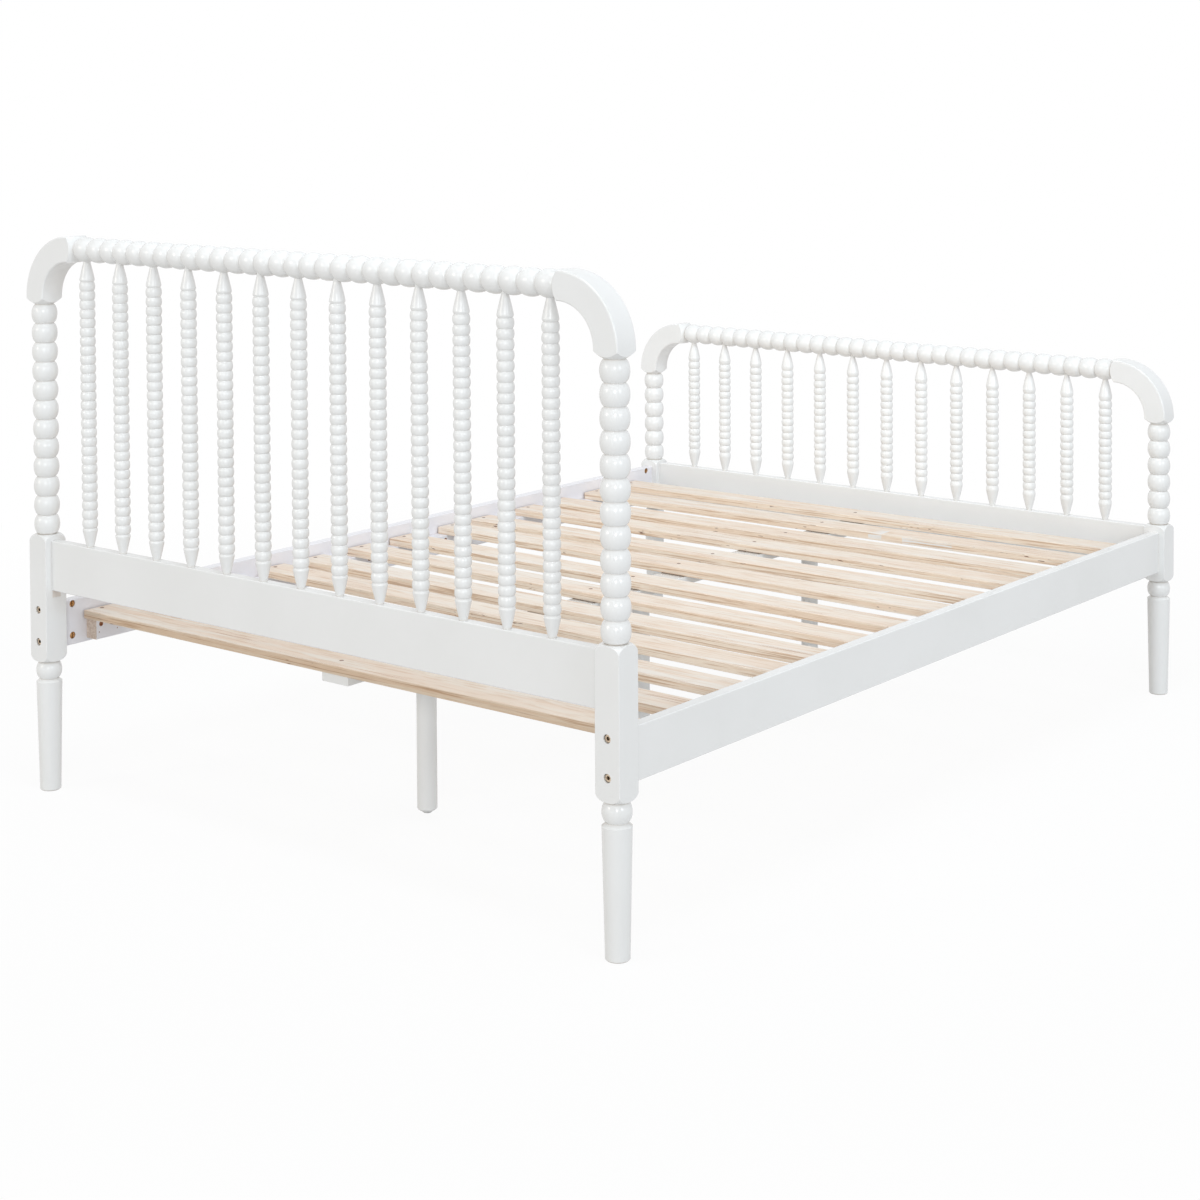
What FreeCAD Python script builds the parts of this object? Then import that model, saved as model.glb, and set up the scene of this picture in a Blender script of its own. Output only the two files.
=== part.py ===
import FreeCAD, Part
import collections
import math
import os

# Turned ("spool") bed frame for a full-size mattress, in millimetres.
# X runs across the bed, with the sleeper's right hand at -X. Y runs along it, with the headboard
# at +Y. Z is up, and the origin is on the floor at the middle of the bed.

# Layout of the four posts, axis to axis
post_spacing_across = 1424.0
post_spacing_along = 1970.0

# Turned beads: their outline is an ellipse that would reach past the necks by this share
bead_reach_share = 1.03

# Posts: a tapered leg, a ball, a square block and a stack of beads
post_width = 50.0
post_edge_radius = 1.5
post_neck_diameter = 35.0
post_bead_diameter = 49.8
post_bead_height = 37.7
head_post_bead_count = 12
foot_post_bead_count = 6
leg_height = 221.0
leg_top_diameter = 50.0
leg_bottom_diameter = 41.0
leg_bottom_chamfer = 2.0
leg_shoulder_height = 5.5
ball_diameter = 50.0
ball_height = 34.5
head_block_height = 252.0
foot_block_height = 128.0
block_shoulder_height = 16.0

# Elbows from the posts to the top rails
elbow_reach = 112.0
elbow_lead = 14.0
elbow_edge_radius = 3.0
elbow_shoulder_height = 13.5
elbow_shoulder_via_share = 0.4

# Top rails
top_rail_bead_count = 31
top_rail_diameter = 48.4
top_rail_neck_diameter = 33.0

# Lower rails of the headboard and the footboard
lower_rail_thickness = 22.0
lower_rail_height = 98.0
lower_rail_edge_chamfer = 1.5
head_lower_rail_base = 398.5
foot_lower_rail_base = 278.5
tenon_thickness = 10.0
tenon_shoulder = 14.0
tenon_length = 18.0

# Spindles
spindle_count = 13
rail_beads_per_spindle = 2.5
spindle_diameter = 30.3
spindle_neck_diameter = 24.3
spindle_tenon_depth = 14.0
cone_shoulder_share = 0.8
head_spindle_bead_count = 27
head_cone_length = 37.5
head_cone_tip_diameter = 13.5
head_cone_flank_diameter = 22.0
head_cone_flank_share = 0.45
head_cone_bulge_diameter = 28.8
head_cone_bulge_share = 0.87
foot_spindle_bead_count = 13
foot_cone_length = 48.0
foot_cone_tip_diameter = 11.5
foot_cone_flank_diameter = 22.4
foot_cone_flank_share = 0.4
foot_cone_bulge_diameter = 29.8
foot_cone_bulge_share = 0.78

# Side rails, their bolts and barrel nuts
side_rail_thickness = 22.0
side_rail_height = 90.0
side_rail_base = 278.0
side_rail_edge_chamfer = 1.5
bolt_diameter = 8.0
bolt_head_diameter = 13.0
bolt_head_height = 8.0
bolt_socket_width = 6.0
bolt_socket_depth = 4.0
bolt_tip_length = 4.0
bolt_spacing = 63.0
lower_bolt_height = 18.5
counterbore_diameter = 15.0
counterbore_depth = 11.0
barrel_nut_diameter = 14.0
barrel_nut_length = 18.0
barrel_nut_setback = 25.0
barrel_nut_slot_width = 2.0
barrel_nut_slot_depth = 2.5

# Ledgers, screwed and nailed to the insides of the side rails
ledger_width = 30.0
ledger_height = 41.0
ledger_rise = 7.0
ledger_end_gap = 60.0
ledger_edge_chamfer = 1.0
ledger_screw_count = 8
ledger_screw_diameter = 5.0
ledger_screw_length = 44.0
ledger_screw_head_diameter = 10.0
ledger_screw_height = 30.0
ledger_screw_inset = 12.0
brad_diameter = 2.2
brad_length = 38.0
brad_height = 14.0
brad_insets = (7.0, 53.0)

# Slats, set out by eye: their spaces are uneven, and most lie a little askew
slat_width = 72.0
slat_thickness = 16.0
slat_end_gap = 4.0
slat_head_margin = 51.0
slat_foot_margin = 61.0
slat_edge_chamfer = 0.8
slat_place_shares = (0, 0.088, 0.177, 0.263, 0.3335, 0.416, 0.498, 0.591, 0.663, 0.756, 0.828, 0.916, 1)
slat_turns = (0, -0.6, -1.15, -1.35, -1.15, -1.25, -0.95, -1.15, 0, -0.2, 0.45, 0.6, 1.1)
slat_screw_diameter = 4.2
slat_screw_length = 28.0
slat_screw_head_diameter = 8.5

# Centre beam, its legs and their feet
beam_width = 66.0
beam_thickness = 18.0
beam_end_gap = 57.0
beam_edge_chamfer = 1.0
beam_screw_offset = 13.0
head_leg_spacing = 662.0
foot_leg_spacing = 644.0
centre_leg_diameter = 38.5
centre_leg_ground_gap = 17.5
centre_leg_bottom_chamfer = 3.0
leg_bolt_diameter = 6.0
leg_bolt_length = 60.0
leg_bolt_head_diameter = 12.0
insert_diameter = 12.0
insert_length = 20.0
stud_diameter = 8.0
stud_overreach = 10.0
stud_flange_diameter = 12.0
stud_flange_height = 2.4
stud_nut_width = 13.0
stud_nut_height = 2.5
nut_room_gap = 0.75
pad_diameter = 21.0
pad_sole_diameter = 15.0
pad_height = 5.5
pad_lip = 1.2
pad_leg_gap = 0.5

# Dowels that join posts, elbows and top rails
dowel_diameter = 12.0
dowel_length = 60.0

# Fits
glue_gap = 0.05
bolt_gap = 0.3
thread_gap = 0.08
running_gap = 0.08
end_room = 2.0
overrun = 1.0

full_turn = 360.0
quarter_turn = 90.0
half_turn = 180.0
square_sides = 4
hexagon_sides = 6

# A bead's crest and end are (radius, height) points. A cone's tip, flank and bulge are diameters.
Bead = collections.namedtuple("Bead", "crest end")
Cone = collections.namedtuple("Cone", "length tip flank flank_share bulge bulge_share")

V = FreeCAD.Vector
ORIGIN = V(0, 0, 0)
AXIS_X = V(1, 0, 0)
AXIS_Y = V(0, 1, 0)
AXIS_Z = V(0, 0, 1)

# Places worked out from the sizes above
post_x = post_spacing_across / 2
post_y = post_spacing_along / 2
post_half = post_width / 2
block_base = leg_height + ball_height
head_stack_base = block_base + head_block_height
foot_stack_base = block_base + foot_block_height
head_elbow_base = head_stack_base + head_post_bead_count * post_bead_height
foot_elbow_base = foot_stack_base + foot_post_bead_count * post_bead_height
head_rail_axis = head_elbow_base + elbow_reach
foot_rail_axis = foot_elbow_base + elbow_reach
top_rail_length = post_spacing_across - 2 * elbow_reach
top_rail_bead_length = top_rail_length / top_rail_bead_count
spindle_pitch = top_rail_bead_length * rail_beads_per_spindle
inner_x = post_x - post_half
inner_y = post_y - post_half
rail_inner_x = post_x - side_rail_thickness / 2
bolt_heights = (side_rail_base + lower_bolt_height, side_rail_base + lower_bolt_height + bolt_spacing)
barrel_nut_y = inner_y - barrel_nut_setback
bolt_seat = post_half - counterbore_depth
bolt_reach = bolt_seat + post_half + barrel_nut_setback + barrel_nut_diameter / 2 + bolt_tip_length
ledger_base = side_rail_base + ledger_rise
ledger_top = ledger_base + ledger_height
ledger_half_length = inner_y - ledger_end_gap
ledger_inner_x = rail_inner_x - ledger_width
slat_top = ledger_top + slat_thickness
slat_half_length = rail_inner_x - slat_end_gap
first_slat_y = inner_y - slat_head_margin - slat_width / 2
last_slat_y = slat_foot_margin + slat_width / 2 - inner_y
beam_base = ledger_top - beam_thickness
beam_half_length = inner_y - beam_end_gap
ledger_middle_x = ledger_inner_x + ledger_width / 2
slat_screw_places = (ledger_middle_x, beam_screw_offset, -ledger_middle_x)
centre_leg_places = (head_leg_spacing, 0, -foot_leg_spacing)
pad_top = centre_leg_ground_gap - pad_leg_gap
pad_base = pad_top - pad_height
pad_recess_height = stud_flange_height + 2 * running_gap
pad_recess_base = pad_top - pad_lip - pad_recess_height
nut_room_diameter = 2 * (stud_nut_width / math.sqrt(3) + nut_room_gap)
insert_base = centre_leg_ground_gap + stud_nut_height + pad_leg_gap
stud_top = insert_base + insert_length + stud_overreach
head_cone = Cone(head_cone_length, head_cone_tip_diameter, head_cone_flank_diameter,
                 head_cone_flank_share, head_cone_bulge_diameter, head_cone_bulge_share)
foot_cone = Cone(foot_cone_length, foot_cone_tip_diameter, foot_cone_flank_diameter,
                 foot_cone_flank_share, foot_cone_bulge_diameter, foot_cone_bulge_share)


def moved(shape, x, y, z):
    """A copy of a shape, shifted."""
    copy = shape.copy()
    copy.translate(V(x, y, z))
    return copy


def turned_about(shape, axis, angle):
    """A copy of a shape, turned about a line through the origin."""
    copy = shape.copy()
    copy.rotate(ORIGIN, axis, angle)
    return copy


def bead_edge(start, crest, end):
    """A bead's outline from neck to neck: the part of a tall ellipse that lies between them."""
    reach = (end.z - start.z) / 2 * bead_reach_share
    trim = math.acos(1 / bead_reach_share)
    depth = (crest.x - start.x) / (1 - math.sin(trim))
    centre = V(crest.x - depth, 0, crest.z)
    ellipse = Part.Ellipse(V(centre.x, 0, centre.z + reach), crest, centre)
    return Part.ArcOfEllipse(ellipse, trim, math.pi - trim).toShape()


def lathe(start, steps):
    """A solid turned about Z from (radius, height) points.

    Each step is the end point of a line, a pair of points (one on an arc, then the arc's end) or a bead.
    """
    edges = []
    here = V(start[0], 0, start[1])
    for step in steps:
        pairs = step if isinstance(step[0], tuple) else (step,)
        points = [V(radius, 0, height) for radius, height in pairs]
        if isinstance(step, Bead):
            edges.append(bead_edge(here, *points))
        elif len(points) > 1:
            edges.append(Part.Arc(here, *points).toShape())
        else:
            edges.append(Part.LineSegment(here, *points).toShape())
        here = points[-1]
    edges.append(Part.LineSegment(here, V(start[0], 0, start[1])).toShape())
    return Part.Face(Part.Wire(edges)).revolve(ORIGIN, AXIS_Z, full_turn)


def bead_steps(base, count, length, diameter, neck_diameter):
    """A row of turned beads, from a neck at base upwards."""
    steps = []
    for index in range(count):
        bottom = base + index * length
        steps.append(Bead((diameter / 2, bottom + length / 2), (neck_diameter / 2, bottom + length)))
    return steps


def shoulder_arc(neck_radius, corner_radius, height, base, direction):
    """The rounded shoulder from a neck at base out to a square's corners, as an arc's two points."""
    slant = math.sqrt(2) / 2
    via_radius = neck_radius + (corner_radius - neck_radius) * slant
    via = (via_radius, base + direction * height * (1 - slant))
    return via, (corner_radius, base + direction * height)


def cylinder(diameter, length, start, direction):
    """A cylinder from a start point along a direction."""
    return Part.makeCylinder(diameter / 2, length, start, direction)


def block_between(low, high):
    """A box from its lowest to its highest corner."""
    return Part.makeBox(high[0] - low[0], high[1] - low[1], high[2] - low[2], V(*low))


def eased_board(low, high, long_axis, chamfer):
    """A board whose long edges are chamfered."""
    board = block_between(low, high)
    edges = []
    for edge in board.Edges:
        along = edge.tangentAt(edge.FirstParameter)
        if round(abs(along.dot(long_axis))):
            edges.append(edge)
    return board.makeChamfer(chamfer, edges)


def rounded_square(width, radius):
    """A level square face with rounded corners, centred on the origin."""
    flat = width / 2 - radius
    edges = []
    for index in range(square_sides):
        angle = index * quarter_turn
        turn = FreeCAD.Rotation(AXIS_Z, angle)
        side_start = V(width / 2, -flat, 0)
        side_end = V(width / 2, flat, 0)
        slant = radius * math.sqrt(2) / 2
        corner_via = V(flat + slant, flat + slant, 0)
        corner_end = V(flat, width / 2, 0)
        edges.append(Part.LineSegment(turn.multVec(side_start), turn.multVec(side_end)).toShape())
        arc = Part.Arc(turn.multVec(side_end), turn.multVec(corner_via), turn.multVec(corner_end))
        edges.append(arc.toShape())
    return Part.Face(Part.Wire(Part.__sortEdges__(edges)))


def hexagon_prism(width, height):
    """An upright hexagonal prism on the origin, measured across its flats."""
    corner_radius = width / math.sqrt(3)
    points = []
    for index in range(hexagon_sides + 1):
        angle = 2 * math.pi * index / hexagon_sides
        points.append(V(corner_radius * math.cos(angle), corner_radius * math.sin(angle), 0))
    return Part.Face(Part.makePolygon(points)).extrude(V(0, 0, height))


def countersunk_screw(diameter, head_diameter, length):
    """A screw pointing down from the origin, with its flat head's face at Z = 0."""
    radius = diameter / 2
    head_depth = head_diameter / 2 - radius
    tip_start = radius - length
    return lathe((0, 0), [(head_diameter / 2, 0), (radius, -head_depth), (radius, tip_start), (0, -length)])


def countersunk_hole(diameter, head_diameter, length):
    """The hole that takes a countersunk screw, open at the top."""
    radius = diameter / 2 + glue_gap
    head_radius = head_diameter / 2 + glue_gap
    depth = head_radius - radius
    steps = [(head_radius, overrun), (head_radius, 0), (radius, -depth), (radius, -length - glue_gap)]
    return lathe((0, overrun), steps + [(0, -length - glue_gap)])


def square_block(height):
    """The square part of a post, with a turned shoulder at both ends."""
    corner_radius = post_half * math.sqrt(2)
    neck_radius = post_neck_diameter / 2
    lower = shoulder_arc(neck_radius, corner_radius, block_shoulder_height, 0, 1)
    upper_via, upper_end = shoulder_arc(neck_radius, corner_radius, block_shoulder_height, height, -1)
    steps = [(neck_radius, 0), lower, upper_end, (upper_via, (neck_radius, height)), (0, height)]
    square = rounded_square(post_width, post_edge_radius).extrude(V(0, 0, height))
    return square.common(lathe((0, 0), steps))


def dowel_hole(start, direction):
    """The hole that takes half of a dowel, from a face inwards."""
    return cylinder(dowel_diameter + 2 * glue_gap, dowel_length / 2 + glue_gap, start, direction)


def make_post(block_height, bead_count, rail_base, inward, outward):
    """A post on the origin. Inward is the sign of X towards the bed, outward that of Y away from it."""
    neck_radius = post_neck_diameter / 2
    sole_radius = leg_bottom_diameter / 2 - leg_bottom_chamfer
    leg_steps = [
        (sole_radius, 0),
        (leg_bottom_diameter / 2, leg_bottom_chamfer),
        (leg_top_diameter / 2, leg_height - leg_shoulder_height),
        (neck_radius, leg_height),
        Bead((ball_diameter / 2, leg_height + ball_height / 2), (neck_radius, block_base)),
        (0, block_base),
    ]
    stack_base = block_base + block_height
    stack_top = stack_base + bead_count * post_bead_height
    beads = bead_steps(stack_base, bead_count, post_bead_height, post_bead_diameter, post_neck_diameter)
    stack = lathe((0, stack_base), [(neck_radius, stack_base)] + beads + [(0, stack_top)])
    block = moved(square_block(block_height), 0, 0, block_base)
    post = lathe((0, 0), leg_steps).fuse([block, stack]).removeSplitter()

    cuts = [dowel_hole(V(0, 0, stack_top), -AXIS_Z)]
    hole_diameter = bolt_diameter + 2 * bolt_gap
    hole_length = post_width + 2 * overrun
    hole_y = -outward * (post_half + overrun)
    for height in bolt_heights:
        hole_start = V(0, hole_y, height)
        cuts.append(cylinder(hole_diameter, hole_length, hole_start, AXIS_Y * outward))
        seat = V(0, outward * bolt_seat, height)
        cuts.append(cylinder(counterbore_diameter, counterbore_depth + overrun, seat, AXIS_Y * outward))
    mortise_floor = post_half - tenon_length - end_room / 2
    mortise_ends = sorted((inward * (post_half + overrun), inward * mortise_floor))
    mortise_half = tenon_thickness / 2 + glue_gap
    mortise_low = rail_base + tenon_shoulder - glue_gap
    mortise_high = rail_base + lower_rail_height - tenon_shoulder + glue_gap
    low = (mortise_ends[0], -mortise_half, mortise_low)
    high = (mortise_ends[1], mortise_half, mortise_high)
    cuts.append(block_between(low, high))
    return post.cut(cuts)


def elbow_lead_piece():
    """One straight end of an elbow, upright, with its nearly conical shoulder at Z = 0."""
    corner_radius = post_half * math.sqrt(2)
    neck_radius = post_neck_diameter / 2
    via_radius = (neck_radius + corner_radius) / 2
    via = (via_radius, elbow_shoulder_height * elbow_shoulder_via_share)
    shoulder = (via, (corner_radius, elbow_shoulder_height))
    steps = [(neck_radius, 0), shoulder, (corner_radius, elbow_lead), (0, elbow_lead)]
    square = rounded_square(post_width, elbow_edge_radius)
    return square.extrude(V(0, 0, elbow_lead)).common(lathe((0, 0), steps))


def make_elbow():
    """An elbow that rises from the origin and bends towards +X."""
    bend_radius = elbow_reach - elbow_lead
    section = moved(rounded_square(post_width, elbow_edge_radius), 0, 0, elbow_lead)
    bend = section.revolve(V(bend_radius, 0, elbow_lead), AXIS_Y, quarter_turn)
    upright = elbow_lead_piece()
    level = moved(turned_about(upright, AXIS_Y, -quarter_turn), elbow_reach, 0, elbow_reach)
    elbow = bend.fuse([upright, level]).removeSplitter()
    return elbow.cut([dowel_hole(ORIGIN, AXIS_Z), dowel_hole(V(elbow_reach, 0, elbow_reach), -AXIS_X)])


def spindle_places():
    """The X places of the spindles in a row."""
    first = spindle_pitch * (spindle_count - 1) / 2
    return [first - index * spindle_pitch for index in range(spindle_count)]


def make_top_rail(tip_diameter):
    """A turned top rail along X through the origin, drilled from below for the spindles."""
    neck_radius = top_rail_neck_diameter / 2
    start = -top_rail_length / 2
    beads = bead_steps(start, top_rail_bead_count, top_rail_bead_length,
                       top_rail_diameter, top_rail_neck_diameter)
    upright = lathe((0, start), [(neck_radius, start)] + beads + [(0, -start)])
    rail = turned_about(upright, AXIS_Y, quarter_turn)
    hole_base = -top_rail_diameter / 2
    cuts = [dowel_hole(V(start, 0, 0), AXIS_X), dowel_hole(V(-start, 0, 0), -AXIS_X)]
    for x in spindle_places():
        hole_start = V(x, 0, hole_base - overrun)
        hole_depth = overrun + spindle_tenon_depth + glue_gap
        cuts.append(cylinder(tip_diameter + 2 * glue_gap, hole_depth, hole_start, AXIS_Z))
    return rail.cut(cuts)


def make_lower_rail(base, tip_diameter):
    """A lower rail between two posts, with a tenon at each end and holes for the spindles."""
    half = lower_rail_thickness / 2
    top = base + lower_rail_height
    board = eased_board((-inner_x, -half, base), (inner_x, half, top), AXIS_X, lower_rail_edge_chamfer)
    tenon_x = inner_x + tenon_length
    tenon_low = (-tenon_x, -tenon_thickness / 2, base + tenon_shoulder)
    tenon_high = (tenon_x, tenon_thickness / 2, top - tenon_shoulder)
    rail = board.fuse(block_between(tenon_low, tenon_high)).removeSplitter()
    cuts = []
    for x in spindle_places():
        hole_start = V(x, 0, top + overrun)
        hole_depth = overrun + spindle_tenon_depth + glue_gap
        cuts.append(cylinder(tip_diameter + 2 * glue_gap, hole_depth, hole_start, -AXIS_Z))
    return rail.cut(cuts)


def cone_points(cone, base, direction):
    """The points that shape a spindle's end beyond its tip at base: flank, bulge, shoulder and first neck."""
    flank = (cone.flank / 2, base + direction * cone.length * cone.flank_share)
    bulge = (cone.bulge / 2, base + direction * cone.length * cone.bulge_share)
    neck = (spindle_neck_diameter / 2, base + direction * cone.length)
    shoulder_radius = neck[0] + (bulge[0] - neck[0]) * cone_shoulder_share
    shoulder = (shoulder_radius, (bulge[1] + neck[1]) / 2)
    return flank, bulge, shoulder, neck


def make_spindle(base, top, bead_count, cone):
    """A spindle on the Z axis between a lower rail's top and a top rail's underside."""
    tip_radius = cone.tip / 2
    tenon_base = base - spindle_tenon_depth
    tenon_top = top + spindle_tenon_depth
    bead_length = (top - base - 2 * cone.length) / bead_count
    flank, bulge, shoulder, neck = cone_points(cone, base, 1)
    steps = [(tip_radius, tenon_base), (tip_radius, base), (flank, bulge), (shoulder, neck)]
    steps += bead_steps(neck[1], bead_count, bead_length, spindle_diameter, spindle_neck_diameter)
    flank, bulge, shoulder, neck = cone_points(cone, top, -1)
    steps += [(shoulder, bulge), (flank, (tip_radius, top)), (tip_radius, tenon_top), (0, tenon_top)]
    return lathe((0, tenon_base), steps)


def make_side_rail(side):
    """A side rail, drilled at both ends for its bolts and barrel nuts. Side is the sign of X."""
    half = side_rail_thickness / 2
    centre = side * post_x
    top = side_rail_base + side_rail_height
    low = (centre - half, -inner_y, side_rail_base)
    high = (centre + half, inner_y, top)
    rail = eased_board(low, high, AXIS_Y, side_rail_edge_chamfer)
    nut_room = (side_rail_thickness + barrel_nut_length) / 2
    nut_bore = barrel_nut_diameter + 2 * glue_gap
    bolt_room = barrel_nut_setback + barrel_nut_diameter / 2 + bolt_tip_length + end_room
    bolt_bore = bolt_diameter + 2 * bolt_gap
    cuts = []
    for end in (1, -1):
        for height in bolt_heights:
            bolt_start = V(centre, end * (inner_y + overrun), height)
            cuts.append(cylinder(bolt_bore, bolt_room + overrun, bolt_start, AXIS_Y * -end))
            nut_start = V(side * (rail_inner_x - overrun), end * barrel_nut_y, height)
            cuts.append(cylinder(nut_bore, nut_room + overrun, nut_start, AXIS_X * side))
    for y in ledger_screw_places():
        cuts.append(ledger_fixing(side, y, ledger_screw_hole(), ledger_screw_height))
    for y in brad_places():
        cuts.append(ledger_fixing(side, y, brad_hole(), brad_height))
    return rail.cut(cuts)


def ledger_screw_places():
    """The Y places of the screws along a ledger."""
    first = ledger_half_length - ledger_screw_inset
    spacing = 2 * first / (ledger_screw_count - 1)
    return [first - index * spacing for index in range(ledger_screw_count)]


def brad_places():
    """The Y places of the brads at both ends of a ledger."""
    places = []
    for inset in brad_insets:
        places += [ledger_half_length - inset, inset - ledger_half_length]
    return places


def ledger_screw():
    """A ledger screw pointing down from the origin."""
    return countersunk_screw(ledger_screw_diameter, ledger_screw_head_diameter, ledger_screw_length)


def ledger_screw_hole():
    """The hole of a ledger screw."""
    return countersunk_hole(ledger_screw_diameter, ledger_screw_head_diameter, ledger_screw_length)


def brad():
    """A headless brad pointing down from the origin."""
    return cylinder(brad_diameter, brad_length, ORIGIN, -AXIS_Z)


def brad_hole():
    """The hole of a brad."""
    start = V(0, 0, overrun)
    return cylinder(brad_diameter + 2 * glue_gap, brad_length + overrun + glue_gap, start, -AXIS_Z)


def ledger_fixing(side, y, shape, height):
    """A shape that points down, laid to point outwards from a ledger's inner face."""
    laid = turned_about(shape, AXIS_Y, -side * quarter_turn)
    return moved(laid, side * ledger_inner_x, y, ledger_base + height)


def make_ledger(side):
    """A ledger on the inside of a side rail. Side is the sign of X."""
    near, far = sorted((side * ledger_inner_x, side * rail_inner_x))
    low = (near, -ledger_half_length, ledger_base)
    high = (far, ledger_half_length, ledger_top)
    ledger = eased_board(low, high, AXIS_Y, ledger_edge_chamfer)
    cuts = [ledger_fixing(side, y, ledger_screw_hole(), ledger_screw_height) for y in ledger_screw_places()]
    cuts += [ledger_fixing(side, y, brad_hole(), brad_height) for y in brad_places()]
    return ledger.cut(cuts + slat_screw_row(side * ledger_middle_x))


def slat_seats():
    """The Y place of each slat's middle and the slat's turn, from the head."""
    seats = []
    for share, turn in zip(slat_place_shares, slat_turns):
        seats.append((first_slat_y + (last_slat_y - first_slat_y) * share, turn))
    return seats


def seated(shape, seat):
    """A copy of a shape, turned about Z and shifted along Y to a slat's seat."""
    y, turn = seat
    return moved(turned_about(shape, AXIS_Z, turn), 0, y, 0)


def slat_screw():
    """A slat screw pointing down from the origin."""
    return countersunk_screw(slat_screw_diameter, slat_screw_head_diameter, slat_screw_length)


def slat_screw_hole():
    """The hole of a slat screw."""
    return countersunk_hole(slat_screw_diameter, slat_screw_head_diameter, slat_screw_length)


def slat_screw_row(x):
    """One hole for each slat's screw at a place along the slats."""
    hole = moved(slat_screw_hole(), x, 0, slat_top)
    return [seated(hole, seat) for seat in slat_seats()]


def make_slat():
    """A slat along X over the origin, drilled for its three screws."""
    low = (-slat_half_length, -slat_width / 2, ledger_top)
    high = (slat_half_length, slat_width / 2, slat_top)
    slat = eased_board(low, high, AXIS_X, slat_edge_chamfer)
    return slat.cut([moved(slat_screw_hole(), x, 0, slat_top) for x in slat_screw_places])


def leg_bolt_hole():
    """The hole of a centre leg's bolt, open at the top."""
    return countersunk_hole(leg_bolt_diameter, leg_bolt_head_diameter, leg_bolt_length)


def make_beam():
    """The centre beam under the slats, drilled for the slat screws and the leg bolts."""
    half = beam_width / 2
    low = (-half, -beam_half_length, beam_base)
    high = (half, beam_half_length, ledger_top)
    beam = eased_board(low, high, AXIS_Y, beam_edge_chamfer)
    cuts = [moved(leg_bolt_hole(), 0, y, ledger_top) for y in centre_leg_places]
    return beam.cut(cuts + slat_screw_row(beam_screw_offset))


def make_centre_leg():
    """A round centre leg on the Z axis, bored for its bolt, the stud with its nut and the insert."""
    radius = centre_leg_diameter / 2
    sole_radius = radius - centre_leg_bottom_chamfer
    base = centre_leg_ground_gap
    chamfer_top = base + centre_leg_bottom_chamfer
    leg_steps = [(sole_radius, base), (radius, chamfer_top), (radius, beam_base), (0, beam_base)]
    leg = lathe((0, base), leg_steps)
    start = V(0, 0, base - overrun)
    nut_room = cylinder(nut_room_diameter, insert_base - start.z, start, AXIS_Z)
    insert_room = insert_base + insert_length - start.z
    insert_bore = cylinder(insert_diameter + 2 * glue_gap, insert_room, start, AXIS_Z)
    stud_room = stud_top + end_room - start.z
    stud_bore = cylinder(stud_diameter + 2 * bolt_gap, stud_room, start, AXIS_Z)
    return leg.cut([nut_room, insert_bore, stud_bore, moved(leg_bolt_hole(), 0, 0, ledger_top)])


def make_insert():
    """The threaded insert in the end of a centre leg."""
    body = cylinder(insert_diameter, insert_length, V(0, 0, insert_base), AXIS_Z)
    bore_start = V(0, 0, insert_base - overrun)
    bore_length = insert_length + 2 * overrun
    return body.cut(cylinder(stud_diameter + 2 * thread_gap, bore_length, bore_start, AXIS_Z))


def make_stud():
    """A levelling stud: a flange held in the pad, a nut to turn it by and a shank for the insert."""
    start = V(0, 0, pad_recess_base + running_gap)
    flange = cylinder(stud_flange_diameter, stud_flange_height, start, AXIS_Z)
    nut = moved(hexagon_prism(stud_nut_width, stud_nut_height), 0, 0, pad_top)
    shank = cylinder(stud_diameter, stud_top - start.z, start, AXIS_Z)
    return flange.fuse([nut, shank]).removeSplitter()


def make_pad():
    """The pad of a levelling foot, moulded with a lip over the recess in which the flange turns."""
    pad_radius = pad_diameter / 2
    sole_radius = pad_sole_diameter / 2
    rim_base = pad_base + pad_height / 2
    steps = [(sole_radius, pad_base), (pad_radius, rim_base), (pad_radius, pad_top), (0, pad_top)]
    start = V(0, 0, pad_recess_base)
    recess = cylinder(stud_flange_diameter + 2 * running_gap, pad_recess_height, start, AXIS_Z)
    mouth_length = pad_top - pad_recess_base + overrun
    mouth = cylinder(stud_diameter + 2 * running_gap, mouth_length, start, AXIS_Z)
    return lathe((0, pad_base), steps).cut([recess, mouth])


def make_rail_bolt():
    """A rail bolt along +Y from its head's seat at the origin, pointing towards -Y."""
    head = cylinder(bolt_head_diameter, bolt_head_height, ORIGIN, AXIS_Y)
    shank = cylinder(bolt_diameter, bolt_reach, ORIGIN, -AXIS_Y)
    upright_socket = hexagon_prism(bolt_socket_width, bolt_socket_depth + overrun)
    socket = turned_about(upright_socket, AXIS_X, -quarter_turn)
    socket_start = bolt_head_height - bolt_socket_depth
    return head.fuse(shank).removeSplitter().cut(moved(socket, 0, socket_start, 0))


def make_barrel_nut():
    """A barrel nut along X through the origin, slotted at -X, with a cross hole along Y."""
    half = barrel_nut_length / 2
    body = cylinder(barrel_nut_diameter, barrel_nut_length, V(-half, 0, 0), AXIS_X)
    bore_length = barrel_nut_diameter + 2 * overrun
    bore_diameter = bolt_diameter + 2 * thread_gap
    bore = cylinder(bore_diameter, bore_length, V(0, -bore_length / 2, 0), AXIS_Y)
    slot_half_width = barrel_nut_slot_width / 2
    slot_half_length = barrel_nut_diameter / 2 + overrun
    slot_low = (-half - overrun, -slot_half_width, -slot_half_length)
    slot_high = (-half + barrel_nut_slot_depth, slot_half_width, slot_half_length)
    return body.cut([bore, block_between(slot_low, slot_high)])


def save(name, shape):
    """Writes one sub-part. A list of solids becomes a group."""
    if isinstance(shape, list):
        shape = Part.makeCompound(shape)
    shape.exportStep("parts/" + name + ".step")


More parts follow.
